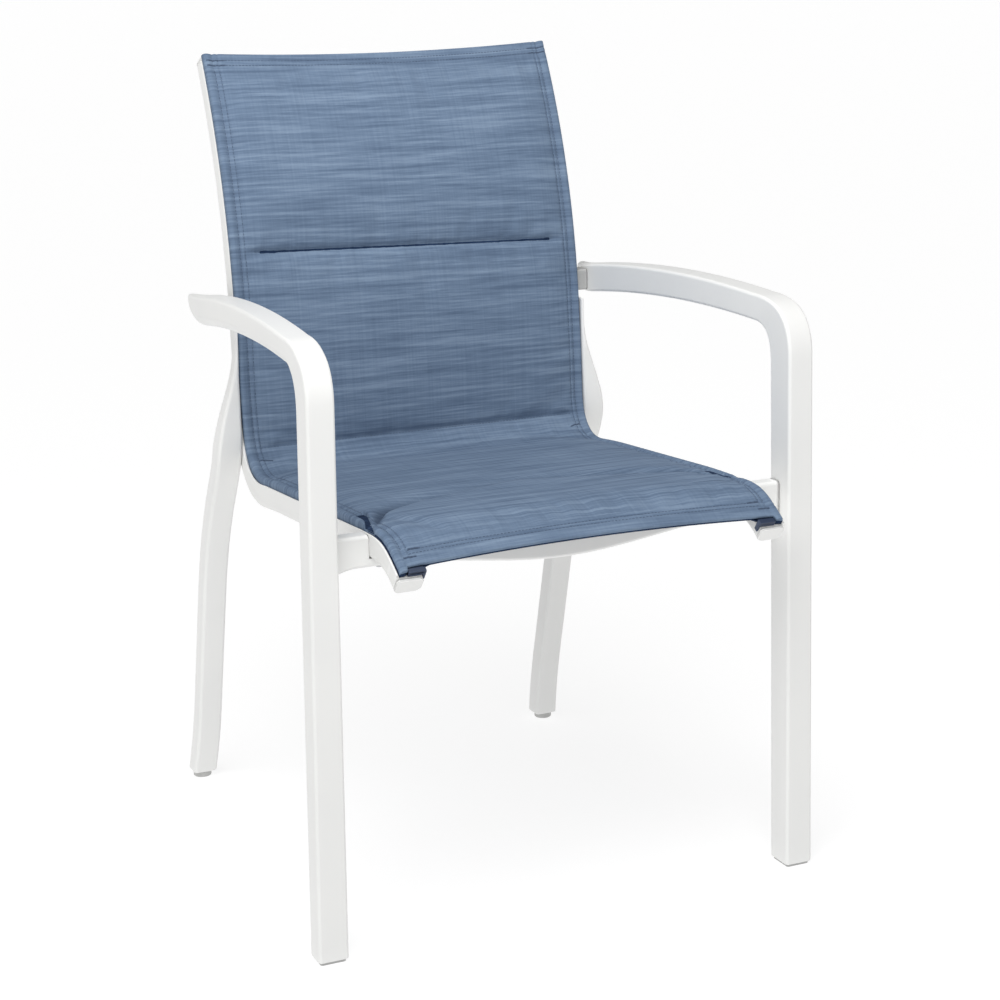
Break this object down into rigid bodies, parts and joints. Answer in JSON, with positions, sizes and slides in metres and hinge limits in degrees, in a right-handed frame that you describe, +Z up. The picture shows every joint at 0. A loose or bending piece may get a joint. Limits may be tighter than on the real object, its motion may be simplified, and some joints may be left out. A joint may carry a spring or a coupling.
{
  "type": "sling patio chair",
  "caption": "Stacking patio armchair: white resin frame with curved arms, and a padded blue mesh sling held between two bent side rails.",
  "frame": {"origin": "on the floor, under the middle of the chair's bounding box", "axes": "+X to the right seen from the front, +Y to the rear, +Z up; the sitter faces -Y"},
  "size_m": [0.5784, 0.6436, 0.88],
  "materials": {
    "white_frame": "satin white resin",
    "grey_resin": "plain grey resin",
    "sleeve_bar": "mill",
    "navy_resin": "plain navy resin",
    "sling_face": "heathered woven mesh, denim blue with pale slubs",
    "sling_back": "plain woven mesh, navy",
    "padding": "quick-drying foam",
    "screw_steel": "bright"
  },
  "bodies": {
    "root": {"side_frame_right": "white_frame", "side_frame_left": "white_frame", "rear_leg_right": "white_frame", "rear_leg_left": "white_frame", "sling_rail_right": "white_frame", "sling_rail_left": "white_frame", "front_crossbar": "white_frame", "seat_spreader": "white_frame", "back_spreader": "white_frame", "rail_front_cap_right": "white_frame", "rail_front_cap_left": "white_frame", "rail_top_cap_right": "white_frame", "rail_top_cap_left": "white_frame", "arm_connector_right": "grey_resin", "arm_connector_left": "grey_resin", "front_glide_right": "grey_resin", "front_glide_left": "grey_resin", "rear_glide_right": "grey_resin", "rear_glide_left": "grey_resin", "sling_bar_right": "sleeve_bar", "sling_bar_left": "sleeve_bar", "sleeve_plug_right": "navy_resin", "sleeve_plug_left": "navy_resin", "sling_front_cloth": "sling_face", "sling_back_cloth": "sling_back", "seat_pad": "padding", "lower_back_pad": "padding", "upper_back_pad": "padding", "rear_leg_lower_screw_right": "screw_steel", "rear_leg_lower_screw_left": "screw_steel", "rear_leg_upper_screw_right": "screw_steel", "rear_leg_upper_screw_left": "screw_steel", "arm_screw_right": "screw_steel", "arm_screw_left": "screw_steel", "saddle_screw_right": "screw_steel", "saddle_screw_left": "screw_steel", "crossbar_screw_right": "screw_steel", "crossbar_screw_left": "screw_steel", "seat_spreader_front_screw_right": "screw_steel", "seat_spreader_front_screw_left": "screw_steel", "seat_spreader_rear_screw_right": "screw_steel", "seat_spreader_rear_screw_left": "screw_steel", "back_spreader_lower_screw_right": "screw_steel", "back_spreader_lower_screw_left": "screw_steel", "back_spreader_upper_screw_right": "screw_steel", "back_spreader_upper_screw_left": "screw_steel", "sling_bar_seat_screw_right": "screw_steel", "sling_bar_seat_screw_left": "screw_steel", "sling_bar_lower_screw_right": "screw_steel", "sling_bar_lower_screw_left": "screw_steel", "sling_bar_upper_screw_right": "screw_steel", "sling_bar_upper_screw_left": "screw_steel"}
  },
  "joints": []
}
